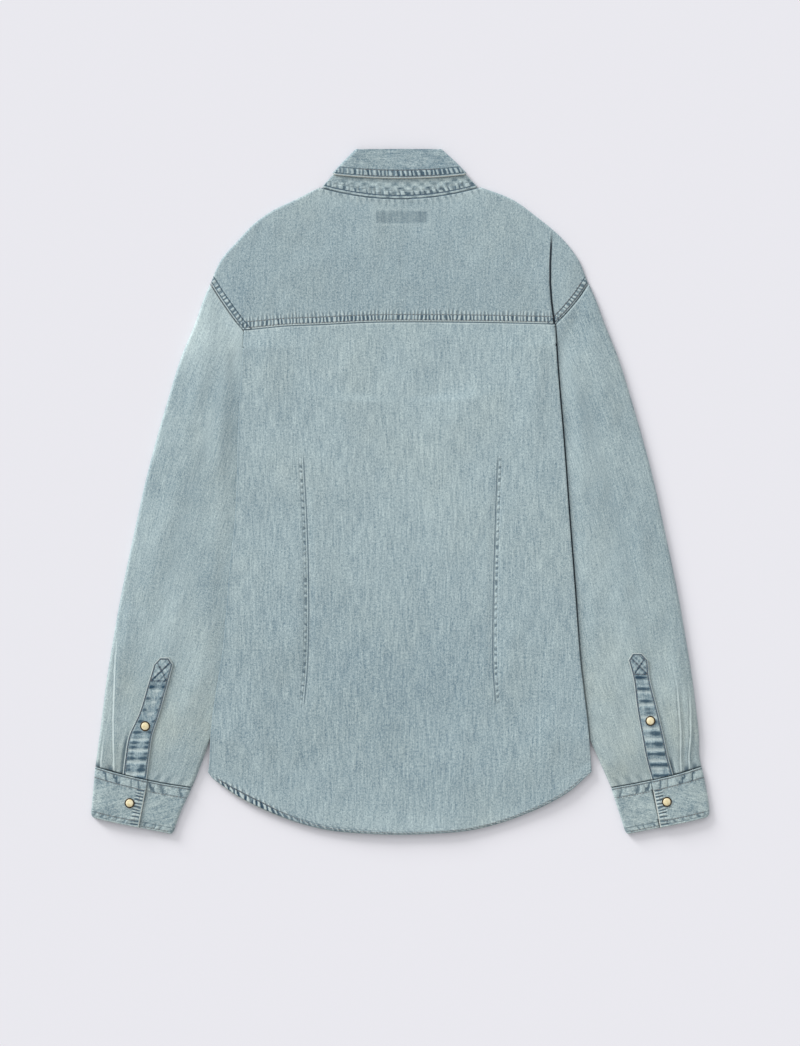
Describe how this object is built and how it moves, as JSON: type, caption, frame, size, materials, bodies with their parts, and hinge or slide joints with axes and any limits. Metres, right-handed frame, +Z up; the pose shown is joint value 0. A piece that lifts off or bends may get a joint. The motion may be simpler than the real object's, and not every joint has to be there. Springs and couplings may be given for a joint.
{
  "type": "denim shirt",
  "caption": "Long-sleeved washed denim shirt with a folded collar, a back yoke, waist darts, a curved hem and snap fastenings, laid flat on its front.",
  "frame": {"origin": "on the surface under the middle of the shirt's outline", "axes": "+Z up out of the surface; the shirt lies face down, back up; +Y from hem to collar; +X to the wearer's right"},
  "size_m": [0.7104, 0.7884, 0.0086],
  "materials": {
    "denim_back": "washed light denim, matt",
    "denim_yoke": "washed light denim, matt, slightly bluer",
    "denim_front": "washed light denim, matt",
    "denim_sleeve": "washed light denim, matt, paler",
    "denim_cuff": "washed light denim, matt, worn edges",
    "denim_collar": "washed light denim, matt, worn edges",
    "denim_placket": "washed light denim, matt, puckered",
    "snap_metal": "antique dark brass",
    "snap_pearl": "pearly cream yellow, glossy"
  },
  "bodies": {
    "root": {"back": "denim_back", "collar_leaf": "denim_collar", "collar_stand": "denim_collar", "cuff_left": "denim_cuff", "cuff_right": "denim_cuff", "front_left": "denim_front", "front_placket": "denim_placket", "front_right": "denim_front", "sleeve_left": "denim_sleeve", "sleeve_placket_left": "denim_placket", "sleeve_placket_right": "denim_placket", "sleeve_right": "denim_sleeve", "snap_cuff_left_cap": "snap_pearl", "snap_cuff_left_rim": "snap_metal", "snap_cuff_right_cap": "snap_pearl", "snap_cuff_right_rim": "snap_metal", "snap_front_1_cap": "snap_pearl", "snap_front_1_rim": "snap_metal", "snap_front_2_cap": "snap_pearl", "snap_front_2_rim": "snap_metal", "snap_front_3_cap": "snap_pearl", "snap_front_3_rim": "snap_metal", "snap_front_4_cap": "snap_pearl", "snap_front_4_rim": "snap_metal", "snap_front_5_cap": "snap_pearl", "snap_front_5_rim": "snap_metal", "snap_front_6_cap": "snap_pearl", "snap_front_6_rim": "snap_metal", "snap_front_7_cap": "snap_pearl", "snap_front_7_rim": "snap_metal", "snap_sleeve_left_cap": "snap_pearl", "snap_sleeve_left_rim": "snap_metal", "snap_sleeve_right_cap": "snap_pearl", "snap_sleeve_right_rim": "snap_metal", "snap_stand_cap": "snap_pearl", "snap_stand_rim": "snap_metal", "yoke": "denim_yoke"}
  },
  "joints": []
}
